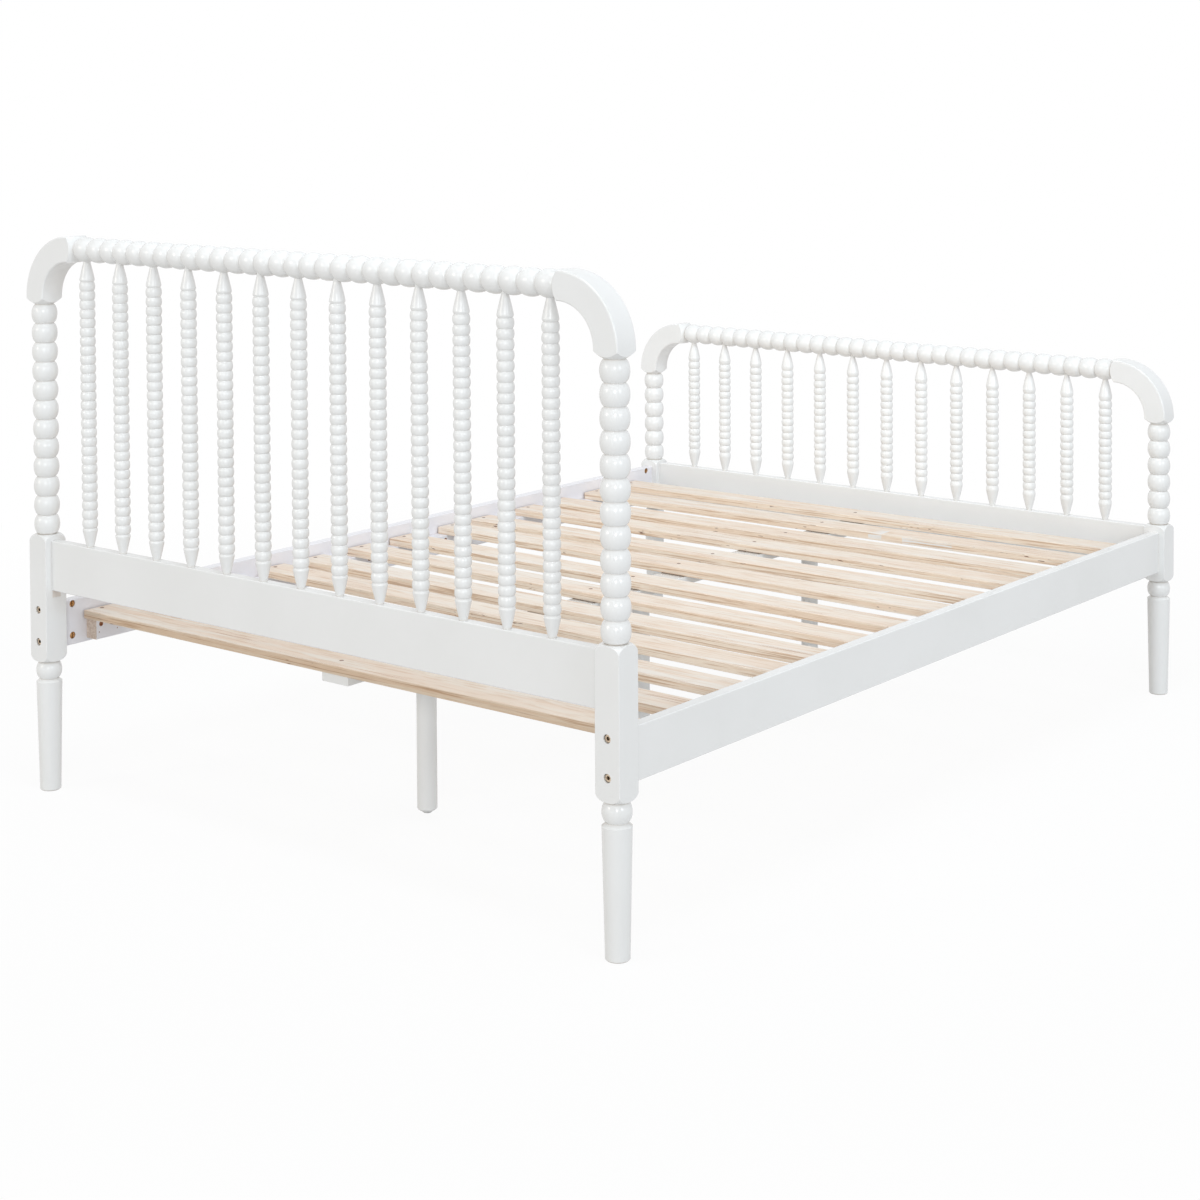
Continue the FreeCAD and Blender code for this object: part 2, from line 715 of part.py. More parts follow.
def save_board(end, outward, block_height, bead_count, rail_base, elbow_base, rail_axis, tip_diameter):
    """Writes the posts, elbows and rails of the headboard or the footboard."""
    y = outward * post_y
    for name, side in (("left", 1), ("right", -1)):
        post = make_post(block_height, bead_count, rail_base, -side, outward)
        save(end + "_post_" + name, moved(post, side * post_x, y, 0))
        elbow = turned_about(make_elbow(), AXIS_Z, half_turn if side > 0 else 0)
        save(end + "_elbow_" + name, moved(elbow, side * post_x, y, elbow_base))
    save(end + "_top_rail", moved(make_top_rail(tip_diameter), 0, y, rail_axis))
    save(end + "_lower_rail", moved(make_lower_rail(rail_base, tip_diameter), 0, y, 0))


def save_frame():
    """Writes the headboard, the footboard and their spindles."""
    save_board("head", 1, head_block_height, head_post_bead_count, head_lower_rail_base,
               head_elbow_base, head_rail_axis, head_cone.tip)
    save_board("foot", -1, foot_block_height, foot_post_bead_count, foot_lower_rail_base,
               foot_elbow_base, foot_rail_axis, foot_cone.tip)

    head_base = head_lower_rail_base + lower_rail_height
    head_top = head_rail_axis - top_rail_diameter / 2
    head_spindle = make_spindle(head_base, head_top, head_spindle_bead_count, head_cone)
    for index, x in enumerate(spindle_places()):
        save("head_spindle_%02d" % (index + 1), moved(head_spindle, x, post_y, 0))

    foot_base = foot_lower_rail_base + lower_rail_height
    foot_top = foot_rail_axis - top_rail_diameter / 2
    foot_spindle = make_spindle(foot_base, foot_top, foot_spindle_bead_count, foot_cone)
    save("foot_spindles", [moved(foot_spindle, x, -post_y, 0) for x in spindle_places()])


def save_dowels():
    """Writes the dowels between posts, elbows and top rails."""
    upright = cylinder(dowel_diameter, dowel_length, V(0, 0, -dowel_length / 2), AXIS_Z)
    level = turned_about(upright, AXIS_Y, quarter_turn)
    dowels = []
    for y, elbow_base, rail_axis in ((post_y, head_elbow_base, head_rail_axis),
                                     (-post_y, foot_elbow_base, foot_rail_axis)):
        for side in (1, -1):
            dowels.append(moved(upright, side * post_x, y, elbow_base))
            dowels.append(moved(level, side * top_rail_length / 2, y, rail_axis))
    save("frame_dowels", dowels)


def save_sides():
    """Writes the side rails and ledgers with their bolts, barrel nuts, screws and brads."""
    bolts = []
    nuts = []
    fixings = []
    bolt = make_rail_bolt()
    nut = make_barrel_nut()
    for name, side in (("left", 1), ("right", -1)):
        save("side_rail_" + name, make_side_rail(side))
        save("ledger_" + name, make_ledger(side))
        for end in (1, -1):
            turned_bolt = turned_about(bolt, AXIS_Z, 0 if end > 0 else half_turn)
            turned_nut = turned_about(nut, AXIS_Z, 0 if side > 0 else half_turn)
            for height in bolt_heights:
                bolts.append(moved(turned_bolt, side * post_x, end * (post_y + bolt_seat), height))
                nuts.append(moved(turned_nut, side * post_x, end * barrel_nut_y, height))
        for y in ledger_screw_places():
            fixings.append(ledger_fixing(side, y, ledger_screw(), ledger_screw_height))
        for y in brad_places():
            fixings.append(ledger_fixing(side, y, brad(), brad_height))
    save("rail_bolts", bolts)
    save("barrel_nuts", nuts)
    save("ledger_fixings", fixings)


def save_slats():
    """Writes the slats and their screws."""
    slat = make_slat()
    slat_screws = [moved(slat_screw(), x, 0, slat_top) for x in slat_screw_places]
    screws = []
    for index, seat in enumerate(slat_seats()):
        save("slat_%02d" % (index + 1), seated(slat, seat))
        screws += [seated(screw, seat) for screw in slat_screws]
    save("slat_screws", screws)


def save_centre():
    """Writes the centre beam, its legs and their feet."""
    save("centre_beam", make_beam())
    leg = make_centre_leg()
    stud = make_stud()
    pad = make_pad()
    leg_bolt = countersunk_screw(leg_bolt_diameter, leg_bolt_head_diameter, leg_bolt_length)
    bolts = []
    inserts = []
    for index, y in enumerate(centre_leg_places):
        number = str(index + 1)
        save("centre_leg_" + number, moved(leg, 0, y, 0))
        save("foot_stud_" + number, moved(stud, 0, y, 0))
        save("foot_pad_" + number, moved(pad, 0, y, 0))
        bolts.append(moved(leg_bolt, 0, y, ledger_top))
        inserts.append(moved(make_insert(), 0, y, 0))
    save("leg_bolts", bolts)
    save("threaded_inserts", inserts)


def main():
    os.makedirs("parts", exist_ok=True)
    save_frame()
    save_dowels()
    save_sides()
    save_slats()
    save_centre()


main()
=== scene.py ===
import math
from typing import NamedTuple

import bpy
from mathutils import Matrix, Vector


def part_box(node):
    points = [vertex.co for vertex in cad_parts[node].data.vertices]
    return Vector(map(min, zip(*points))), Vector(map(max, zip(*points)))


# Looks of the turned bed frame: camera, light and materials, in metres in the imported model's frame.
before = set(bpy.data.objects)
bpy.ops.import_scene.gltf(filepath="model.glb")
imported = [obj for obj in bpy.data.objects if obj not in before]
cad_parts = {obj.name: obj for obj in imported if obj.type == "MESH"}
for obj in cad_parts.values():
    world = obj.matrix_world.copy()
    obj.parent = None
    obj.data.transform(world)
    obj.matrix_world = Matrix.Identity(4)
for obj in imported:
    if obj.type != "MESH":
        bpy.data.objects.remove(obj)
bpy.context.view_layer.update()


class Noise(NamedTuple):
    """A noise texture: how fine, detailed and bent it is, and how much finer it is along each axis."""
    scale: float = 1.0
    detail: float = 2.0
    distortion: float = 0.0
    stretch: tuple = ()


# Camera, fitted to the posts, beads, bolts and feet in the photograph
picture_pixels = 1200
picture_middle_share = 0.5
focal_pixels = 2325.5
view_centre_pixels = (596.9, 138.4)
camera_place = (-2.978, 3.855, 1.429)
camera_yaw = math.radians(38.701)
camera_pitch = math.radians(1.902)
camera_roll = math.radians(-0.319)
sensor_millimetres = 36.0

# Light and stage: the camera sees white, and the object is lit by the world's strength and the lamps
world_strength = 0.63
white_strength = 1.0
white = (1.0, 1.0, 1.0)
floor_width = 40.0
# Painted shade: a darker bounce colour for the floor near the bed, under it
floor_shaded_near = (0.6, 0.595, 0.585)
floor_far = (0.74, 0.74, 0.74)
floor_shadow_share = 0.09
floor_near_end = 1.4
floor_far_start = 3.0
lamps = (
    # name, place, aim, width, spread in degrees, power in watts, colour
    ("top_softbox", (-0.9, 0.9, 3.6), (0.25, -0.5, 0.4), 2.0, 80.0, 10.0, (0.84, 0.93, 1.0)),
    ("key_softbox", (-12.0, 15.0, 5.5), (0.0, 0.0, 0.5), 5.0, 180.0, 715.0, (0.92, 0.965, 1.0)),
    ("head_softbox", (8.0, 16.5, 6.5), (0.0, 0.0, 0.5), 5.0, 180.0, 480.0, (1.0, 0.94, 0.85)),
    ("side_softbox", (-17.0, 4.0, 5.5), (0.0, 0.0, 0.5), 5.0, 180.0, 470.0, (0.84, 0.92, 1.0)),
)

# Places of the colour sockets on Blender's mix node
mix_first = 6
mix_second = 7
mix_result = 2

# Ranges and reaches that several materials share
whole_range = (0.0, 1.0)
noise_middle = 0.5
noise_middle_range = (0.3, 0.7)
level_range = (0.5, 0.9)
crease_reach = 0.012
crease_samples = 6
edge_radius = 0.0015
edge_samples = 4
edge_turn_range = (0.995, 0.8)
mask_noise = Noise(scale=260.0, detail=3.0)
mask_softness = 0.0012
mask_waver = 0.006
wood_relief = 0.0003
fine_relief = 0.0002

# Paint
paint_light = (0.875, 0.875, 0.868)
paint_shade = (0.85, 0.85, 0.84)
# Painted shade: a warm darker paint colour where shade falls in creases and necks
paint_crease_shade = (0.7, 0.65, 0.59)
# Painted highlight: lighter paint on sharp edges, where rounded edges catch the light
paint_edge_highlight = (0.9, 0.9, 0.895)
paint_clouds = Noise(scale=5.0, detail=3.0)
paint_lines = Noise(detail=4.0, distortion=0.3)
paint_line_range = (0.55, 0.8)
paint_line_share = 0.15
paint_peel = Noise(scale=520.0)
paint_crease_shade_range = (0.36, 0.85)
paint_crease_shade_share = 0.85
paint_edge_highlight_share = 0.5
paint_sheen_line_share = 0.4
paint_sheen_range = (0.4, 1.0)
paint_roughness = (0.15, 0.24)
paint_relief_line_share = 0.3
paint_bump_strength = 0.04

# How fine the grain under the paint is along each axis
turned_grain = (26.0, 26.0, 26.0)
across_grain = (5.0, 70.0, 70.0)
elbow_grain = (30.0, 50.0, 30.0)
along_grain = (90.0, 4.0, 70.0)
ledger_grain = (90.0, 4.0, 90.0)
upright_grain = (90.0, 90.0, 4.0)

# Paint of single pieces: a lilac tint, painted shadow on the centre beam's top where the slats lie, and a
# patch of raw-wood colour on a post
lilac_tint = (0.99, 0.978, 1.03)
# Painted shadow: a dark colour on the beam's top where the slats shade it
beam_slat_shadow = (0.06, 0.035, 0.02)
beam_shadow_reach = 0.05
beam_shadow_range = (0.1, 0.35)
# A patch of raw-wood colour on a post, below the head rail
tan_patch_low = (0.68, 0.974, 0.384)
tan_patch_high = (0.69, 0.994, 0.4)
tan_patch_share = 0.5

# Raw wood of the ledgers' ends and of the dowels, whose colour also fills the patch on the post
raw_light = (0.74, 0.63, 0.54)
raw_dark = (0.57, 0.44, 0.35)
raw_rings = Noise(detail=5.0, distortion=0.6)
ledger_end_grain = (160.0, 20.0, 260.0)
ledger_end_range = (0.8, 0.95)
ledger_roughness = (0.36, 0.75)
tan_patch_grain = (60.0, 60.0, 25.0)
dowel_grain = (140.0, 140.0, 60.0)
dowel_pores = Noise(scale=900.0, detail=3.0)
dowel_roughness = (0.55, 0.75)
dowel_bump_strength = 0.3

# Slat faces: pale blotches, ashy bands, fine lines along the slat, cracks and knots
slat_cream = (0.89, 0.793, 0.69)
slat_peach = (0.872, 0.733, 0.613)
slat_ash = (0.893, 0.827, 0.75)
slat_grain = (0.66, 0.44, 0.27)
# Dark brown of cracks and knots, also used as painted shade in the slats' creases
slat_knot_and_crease_shade = (0.45, 0.23, 0.11)
blotches = Noise(detail=4.0, distortion=0.8, stretch=(2.6, 19.0, 3.0))
blotch_range = (0.36, 0.64)
ash_bands = Noise(detail=3.0, distortion=0.5, stretch=(1.9, 34.0, 5.0))
ash_range = (0.5, 0.62)
ash_share = 0.8
grain_lines = Noise(detail=6.0, distortion=0.4, stretch=(15.0, 210.0, 60.0))
grain_range = (0.48, 0.66)
grain_share = 0.4
crack_lines = Noise(distortion=0.2, stretch=(4.5, 520.0, 40.0))
crack_range = (0.6, 0.66)
crack_places = Noise(stretch=(3.0, 26.0, 3.0))
crack_place_range = (0.52, 0.6)
crack_share = 0.8
knot_cells = (6.0, 26.0, 6.0)
knot_cell_range = (0.88, 0.92)
knot_reach_range = (0.12, 0.05)

# Slat edges: plies of changing tone, glue lines between them, streaks, pores and voids
slat_edge_light = (0.96, 0.84, 0.705)
slat_edge_dark = (0.91, 0.735, 0.575)
slat_glue = (0.5, 0.28, 0.14)
slat_void = (0.12, 0.03, 0.015)
ply_thickness = 0.0032
ply_tones = Noise(detail=1.0, stretch=(1.4, 3.0, 7.3))
ply_tone_range = (0.4, 0.6)
streak_lines = Noise(detail=3.0, distortion=0.15, stretch=(6.0, 11.0, 330.0))
streak_range = (0.53, 0.64)
streak_share = 0.6
edge_pores = Noise(detail=4.0, distortion=0.3, stretch=(24.0, 30.0, 1100.0))
edge_pore_range = (0.5, 0.68)
edge_pore_share = 0.3
glue_line_range = (0.7, 0.9)
glue_pore_range = (0.35, 0.6)
glue_share = 0.35
void_lines = Noise(detail=1.0, stretch=(40.0, 9.0, 330.0))
void_range = (0.67, 0.7)
void_places = Noise(detail=1.0, stretch=(6.0, 5.0, 5.0))
void_place_range = (0.56, 0.62)

# Whole slats, the tones that multiply the colours of the first one, whose darker edges are painted shade
# under the head rail, and the smears of paint on another
# Painted shade in the slats' creases
slat_crease_shade_range = (0.5, 1.0)
slat_crease_shade_share = 0.5
slat_roughness = (0.55, 0.7)
slat_bump_strength = 0.25
first_slat_face_tone = (1.04, 1.03, 1.02)
# Painted shade: darker edges of the first slat, under the head rail
first_slat_shaded_edge_tone = (0.765, 0.722, 0.67)
smear_boxes = (
    ((-0.171, -0.72, 0.329), (-0.136, -0.66, 0.344)),
    ((-0.354, -0.72, 0.328), (-0.226, -0.66, 0.341)),
)
smear_range = (0.62, 0.42)
smear_share = 0.95

# Metal and plastic
bolt_light = (0.72, 0.6, 0.46)
bolt_dark = (0.46, 0.34, 0.24)
nut_light = (0.66, 0.38, 0.16)
nut_dark = (0.3, 0.13, 0.05)
screw_light = (0.3, 0.14, 0.07)
screw_dark = (0.12, 0.04, 0.02)
stud_light = (0.6, 0.58, 0.54)
stud_dark = (0.48, 0.46, 0.42)
metal_patches = Noise(scale=420.0, detail=3.0)
metal_patch_range = (0.35, 0.7)
metal_scratches = Noise(stretch=(2600.0, 500.0, 700.0))
# Painted shade in the sockets and recesses of the metal parts
metal_crease_shade = (0.03, 0.018, 0.012)
metal_shade_reach = 0.005
metal_shade_range = (0.25, 0.7)
metal_roughness = (0.28, 0.5)
metal_bump_strength = 0.15
pad_light = (0.74, 0.74, 0.73)
pad_dark = (0.66, 0.66, 0.65)
pad_grain = Noise(scale=1200.0, detail=3.0)
pad_clouds = Noise(scale=90.0)
pad_roughness = (0.45, 0.6)
pad_bump_strength = 0.2


class Nodes:
    """One material and short ways to add nodes to it."""

    def __init__(self, name):
        self.material = bpy.data.materials.new(name)
        self.material.use_nodes = True
        self.tree = self.material.node_tree
        self.shader = self.tree.nodes["Principled BSDF"]
        coordinates = self.add("ShaderNodeTexCoord")
        self.place = coordinates.outputs["Object"]
        self.normal = coordinates.outputs["Normal"]

    def add(self, kind, **settings):
        node = self.tree.nodes.new(kind)
        for key, value in settings.items():
            setattr(node, key, value)
        return node

    def feed(self, socket, source):
        """Links a socket to a source, or sets it to a number, vector or colour."""
        if isinstance(source, bpy.types.NodeSocket):
            self.tree.links.new(source, socket)
        elif isinstance(source, tuple) and socket.type == "RGBA":
            socket.default_value = (*source, 1)
        else:
            socket.default_value = source

    def math(self, operation, first, second=0.0):
        node = self.add("ShaderNodeMath", operation=operation)
        self.feed(node.inputs[0], first)
        self.feed(node.inputs[1], second)
        return node.outputs[0]

    def times(self, first, second):
        return self.math("MULTIPLY", first, second)

    def scaled(self, vector, scale):
        node = self.add("ShaderNodeVectorMath", operation="MULTIPLY")
        self.feed(node.inputs[0], vector)
        self.feed(node.inputs[1], scale)
        return node.outputs[0]

    def split(self, vector):
        node = self.add("ShaderNodeSeparateXYZ")
        self.feed(node.inputs[0], vector)
        return node.outputs

    def joined(self, x, y, z):
        node = self.add("ShaderNodeCombineXYZ")
        for socket, source in zip(node.inputs, (x, y, z)):
            self.feed(socket, source)
        return node.outputs[0]

    def noise(self, texture, vector=None):
        """A noise texture on the piece's own coordinates, or on another vector."""
        if vector is None:
            vector = self.place
        if texture.stretch:
            vector = self.scaled(vector, texture.stretch)
        node = self.add("ShaderNodeTexNoise")
        self.feed(node.inputs["Vector"], vector)
        node.inputs["Scale"].default_value = texture.scale
        node.inputs["Detail"].default_value = texture.detail
        node.inputs["Distortion"].default_value = texture.distortion
        return node.outputs[0]

    def ranged(self, value, source, target=whole_range):
        """A value that runs through a target range, with soft ends, as it runs through a source range."""
        node = self.add("ShaderNodeMapRange", interpolation_type="SMOOTHSTEP")
        self.feed(node.inputs["Value"], value)
        node.inputs["From Min"].default_value = source[0]
        node.inputs["From Max"].default_value = source[1]
        node.inputs["To Min"].default_value = target[0]
        node.inputs["To Max"].default_value = target[1]
        return node.outputs[0]

    def mix(self, factor, first, second):
        node = self.add("ShaderNodeMix", data_type="RGBA")
        self.feed(node.inputs[0], factor)
        self.feed(node.inputs[mix_first], first)
        self.feed(node.inputs[mix_second], second)
        return node.outputs[mix_result]

    def crease(self, distance):
        """0 in the open and 1 in a tight crease."""
        node = self.add("ShaderNodeAmbientOcclusion", samples=crease_samples)
        node.inputs["Distance"].default_value = distance
        return self.math("SUBTRACT", 1.0, node.outputs["AO"])

    def edge(self, radius):
        """0 on a flat and 1 on a sharp edge."""
        bevel = self.add("ShaderNodeBevel", samples=edge_samples)
        bevel.inputs["Radius"].default_value = radius
        geometry = self.add("ShaderNodeNewGeometry")
        dot = self.add("ShaderNodeVectorMath", operation="DOT_PRODUCT")
        self.feed(dot.inputs[0], bevel.outputs[0])
        self.feed(dot.inputs[1], geometry.outputs["Normal"])
        return self.ranged(dot.outputs["Value"], edge_turn_range)

    def inside(self, low, high):
        """1 inside a box and 0 outside it, with a soft and uneven border."""
        offset = self.math("SUBTRACT", self.noise(mask_noise), noise_middle)
        waver = self.times(offset, mask_waver)
        total = 1.0
        for value, bottom, top in zip(self.split(self.place), low, high):
            uneven = self.math("ADD", value, waver)
            above_bottom = self.ranged(uneven, (bottom - mask_softness, bottom + mask_softness))
            below_top = self.ranged(uneven, (top + mask_softness, top - mask_softness))
            total = self.times(below_top, self.times(above_bottom, total))
        return total

    def bump(self, height, strength, distance):
        node = self.add("ShaderNodeBump")
        node.inputs["Strength"].default_value = strength
        node.inputs["Distance"].default_value = distance
        self.feed(node.inputs["Height"], height)
        return node.outputs[0]

    def finish(self, colour, roughness, normal):
        self.feed(self.shader.inputs["Base Color"], colour)
        self.feed(self.shader.inputs["Roughness"], roughness)
        self.feed(self.shader.inputs["Normal"], normal)
        return self.material


def paint_layers(nodes, grain):
    """Colour, roughness and normal of satin paint over wood with the given grain, with painted shade in
    creases and a painted highlight on sharp edges.
    """
    clouds = nodes.noise(paint_clouds)
    lines = nodes.noise(paint_lines._replace(stretch=grain))
    peel = nodes.noise(paint_peel)
    colour = nodes.mix(nodes.ranged(clouds, noise_middle_range), paint_light, paint_shade)
    faint_lines = nodes.ranged(lines, paint_line_range, (0, paint_line_share))
    colour = nodes.mix(faint_lines, colour, paint_shade)
    # Painted shade in creases and necks
    crease = nodes.ranged(nodes.crease(crease_reach), paint_crease_shade_range, (0, paint_crease_shade_share))
    colour = nodes.mix(crease, colour, paint_crease_shade)
    # Painted highlight along sharp edges
    colour = nodes.mix(nodes.times(nodes.edge(edge_radius), paint_edge_highlight_share), colour, paint_edge_highlight)
    sheen = nodes.math("ADD", clouds, nodes.times(lines, paint_sheen_line_share))
    roughness = nodes.ranged(sheen, paint_sheen_range, paint_roughness)
    height = nodes.math("ADD", nodes.times(lines, paint_relief_line_share), peel)
    return colour, roughness, nodes.bump(height, paint_bump_strength, wood_relief)


def paint(name, grain, tint=white):
    nodes = Nodes(name)
    colour, roughness, normal = paint_layers(nodes, grain)
    return nodes.finish(nodes.scaled(colour, tint), roughness, normal)


def raw_colour(nodes, grain):
    """Bare wood with fine pores."""
    rings = nodes.noise(raw_rings._replace(stretch=grain))
    return nodes.mix(nodes.ranged(rings, noise_middle_range), raw_light, raw_dark)


def ledger_paint():
    """Tinted paint on the long faces and bare end grain on the sawn ends."""
    nodes = Nodes("ledger_paint")
    colour, _, normal = paint_layers(nodes, ledger_grain)
    ends = nodes.ranged(nodes.math("ABSOLUTE", nodes.split(nodes.normal)["Y"]), ledger_end_range)
    colour = nodes.mix(ends, nodes.scaled(colour, lilac_tint), raw_colour(nodes, ledger_end_grain))
    return nodes.finish(colour, nodes.ranged(ends, whole_range, ledger_roughness), normal)


def beam_paint():
    """Paint with painted shadow on its top face, darker where the slats lie on it."""
    nodes = Nodes("beam_paint")
    colour, roughness, normal = paint_layers(nodes, along_grain)
    upward = nodes.ranged(nodes.split(nodes.normal)["Z"], level_range)
    slat_shadow = nodes.ranged(nodes.crease(beam_shadow_reach), beam_shadow_range)
    # Painted shadow of the slats on the beam's top face
    colour = nodes.mix(nodes.times(slat_shadow, upward), colour, beam_slat_shadow)
    return nodes.finish(colour, roughness, normal)


def patched_paint():
    """Paint with a patch of raw-wood colour below the head rail."""
    nodes = Nodes("patched_paint")
    colour, roughness, normal = paint_layers(nodes, turned_grain)
    patch = nodes.times(nodes.inside(tan_patch_low, tan_patch_high), tan_patch_share)
    colour = nodes.mix(patch, colour, raw_colour(nodes, tan_patch_grain))
    return nodes.finish(colour, roughness, normal)


def dowel_wood():
    nodes = Nodes("dowel_wood")
    colour = raw_colour(nodes, dowel_grain)
    pores = nodes.noise(dowel_pores)
    roughness = nodes.ranged(pores, noise_middle_range, dowel_roughness)
    return nodes.finish(colour, roughness, nodes.bump(pores, dowel_bump_strength, wood_relief))


def slat_face(nodes):
    """The colour of the top and bottom veneers, and their fine lines."""
    lines = nodes.noise(grain_lines)
    colour = nodes.mix(nodes.ranged(nodes.noise(blotches), blotch_range), slat_cream, slat_peach)
    colour = nodes.mix(nodes.ranged(nodes.noise(ash_bands), ash_range, (0, ash_share)), colour, slat_ash)
    colour = nodes.mix(nodes.ranged(lines, grain_range, (0, grain_share)), colour, slat_grain)
    thin = nodes.ranged(nodes.noise(crack_lines), crack_range)
    local = nodes.ranged(nodes.noise(crack_places), crack_place_range, (0, crack_share))
    colour = nodes.mix(nodes.times(thin, local), colour, slat_knot_and_crease_shade)
    cells = nodes.add("ShaderNodeTexVoronoi")
    nodes.feed(cells.inputs["Vector"], nodes.scaled(nodes.place, knot_cells))
    cells.inputs["Scale"].default_value = 1.0
    chosen = nodes.ranged(nodes.split(cells.outputs["Color"])["X"], knot_cell_range)
    knots = nodes.times(nodes.ranged(cells.outputs["Distance"], knot_reach_range), chosen)
    return nodes.mix(knots, colour, slat_knot_and_crease_shade), lines


def slat_edge(nodes, bottom):
    """The colour of the sawn edges of a slat whose underside is at bottom, and its streaks."""
    x, y, z = nodes.split(nodes.place)
    plies = nodes.math("DIVIDE", nodes.math("SUBTRACT", z, bottom), ply_thickness)
    tone = nodes.noise(ply_tones, nodes.joined(x, y, nodes.math("FLOOR", plies)))
    streaks = nodes.noise(streak_lines)
    pores = nodes.noise(edge_pores)
    colour = nodes.mix(nodes.ranged(tone, ply_tone_range), slat_edge_light, slat_edge_dark)
    colour = nodes.mix(nodes.ranged(pores, edge_pore_range, (0, edge_pore_share)), colour, slat_grain)
    colour = nodes.mix(nodes.ranged(streaks, streak_range, (0, streak_share)), colour, slat_glue)
    glue_line = nodes.ranged(nodes.math("FRACT", plies), glue_line_range)
    glue = nodes.times(glue_line, nodes.ranged(pores, glue_pore_range))
    colour = nodes.mix(nodes.times(glue, glue_share), colour, slat_glue)
    thin = nodes.ranged(nodes.noise(void_lines), void_range)
    local = nodes.ranged(nodes.noise(void_places), void_place_range)
    return nodes.mix(nodes.times(thin, local), colour, slat_void), streaks


def slat_wood(name, bottom, face_tone=white, edge_tone=white, smears=()):
    """Raw laminated wood, with smears of paint in the given boxes."""
    nodes = Nodes(name)
    face, lines = slat_face(nodes)
    edge, streaks = slat_edge(nodes, bottom)
    level = nodes.ranged(nodes.math("ABSOLUTE", nodes.split(nodes.normal)["Z"]), level_range)
    colour = nodes.mix(level, nodes.scaled(edge, edge_tone), nodes.scaled(face, face_tone))
    # Painted shade in creases, in the dark brown of the knots
    crease = nodes.ranged(nodes.crease(crease_reach), slat_crease_shade_range, (0, slat_crease_shade_share))
    colour = nodes.mix(crease, colour, slat_knot_and_crease_shade)
    for low, high in smears:
        streaky = nodes.ranged(streaks, smear_range, (0, smear_share))
        colour = nodes.mix(nodes.times(nodes.inside(low, high), streaky), colour, paint_light)
    roughness = nodes.ranged(lines, noise_middle_range, slat_roughness)
    height = nodes.math("ADD", lines, streaks)
    return nodes.finish(colour, roughness, nodes.bump(height, slat_bump_strength, wood_relief))


def bronzed_steel(name, light, dark):
    nodes = Nodes(name)
    patches = nodes.noise(metal_patches)
    nodes.shader.inputs["Metallic"].default_value = 1.0
    colour = nodes.mix(nodes.ranged(patches, metal_patch_range), light, dark)
    # Painted shade in sockets and counterbores
    crease = nodes.ranged(nodes.crease(metal_shade_reach), metal_shade_range)
    colour = nodes.mix(crease, colour, metal_crease_shade)
    roughness = nodes.ranged(patches, noise_middle_range, metal_roughness)
    normal = nodes.bump(nodes.noise(metal_scratches), metal_bump_strength, fine_relief)
    return nodes.finish(colour, roughness, normal)


def pad_plastic():
    nodes = Nodes("pad_plastic")
    clouds = nodes.noise(pad_clouds)
    colour = nodes.mix(nodes.ranged(clouds, noise_middle_range), pad_light, pad_dark)
    roughness = nodes.ranged(clouds, noise_middle_range, pad_roughness)
    normal = nodes.bump(nodes.noise(pad_grain), pad_bump_strength, fine_relief)
    return nodes.finish(colour, roughness, normal)


def dress(material, names):
    """Gives CAD nodes their material."""
    for name in names:
        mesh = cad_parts[name].data
        mesh.materials.clear()
        mesh.materials.append(material)


def named(*starts):
    """The CAD nodes whose names start with one of these words."""
    return [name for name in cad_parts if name.startswith(starts)]


def dress_all():
    """Dresses every CAD node. A later line gives a single piece its own material."""
    slats = [name for name in named("slat_") if name != "slat_screws"]
    slat_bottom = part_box(slats[0])[0].z
    turned = named("head_post", "foot_post", "head_spindle", "foot_spindles")
    dress(paint("turned_paint", turned_grain), turned)
    dress(patched_paint(), named("head_post_left"))
    dress(paint("rail_paint", across_grain), named("head_top", "foot_top", "head_lower", "foot_lower"))
    dress(paint("elbow_paint", elbow_grain), named("head_elbow", "foot_elbow"))
    dress(paint("side_paint", along_grain), named("side_rail"))
    dress(paint("lilac_paint", along_grain, lilac_tint), named("side_rail_left"))
    dress(beam_paint(), named("centre_beam"))
    dress(paint("leg_paint", upright_grain), named("centre_leg"))
    dress(ledger_paint(), named("ledger_left", "ledger_right"))
    dress(slat_wood("laminated_slat", slat_bottom), slats)
    # First slat: edges darkened as painted shade under the head rail
    dress(slat_wood("shaded_first_slat", slat_bottom, first_slat_face_tone, first_slat_shaded_edge_tone), named("slat_01"))
    dress(slat_wood("smeared_slat", slat_bottom, smears=smear_boxes), named("slat_12"))
    dress(dowel_wood(), named("frame_dowels"))
    dress(pad_plastic(), named("foot_pad"))
    dress(bronzed_steel("bolt_steel", bolt_light, bolt_dark), named("rail_bolts", "leg_bolts"))
    dress(bronzed_steel("stud_steel", stud_light, stud_dark), named("foot_stud"))
    dress(bronzed_steel("nut_steel", nut_light, nut_dark), named("barrel_nuts", "threaded_inserts"))
    dress(bronzed_steel("screw_steel", screw_light, screw_dark), named("ledger_fixings", "slat_screws"))


def camera_rays(tree):
    """1 for rays that show the stage to the camera or in a gloss, and 0 for rays that light the object."""
    path = tree.nodes.new("ShaderNodeLightPath")
    total = path.outputs["Is Camera Ray"]
    for name in ("Is Glossy Ray", "Is Transmission Ray"):
        node = tree.nodes.new("ShaderNodeMath")
        node.operation = "MAXIMUM"
        tree.links.new(total, node.inputs[0])
        tree.links.new(path.outputs[name], node.inputs[1])
        total = node.outputs[0]
    return total


def make_world():
    world = bpy.data.worlds.new("studio")
    bpy.context.scene.world = world
    world.use_nodes = True
    tree = world.node_tree
    background = tree.nodes["Background"]
    strength = tree.nodes.new("ShaderNodeMapRange")
    strength.inputs["To Min"].default_value = world_strength
    strength.inputs["To Max"].default_value = white_strength
    tree.links.new(camera_rays(tree), strength.inputs["Value"])
    tree.links.new(strength.outputs[0], background.inputs["Strength"])
    background.inputs["Color"].default_value = (*white, 1)


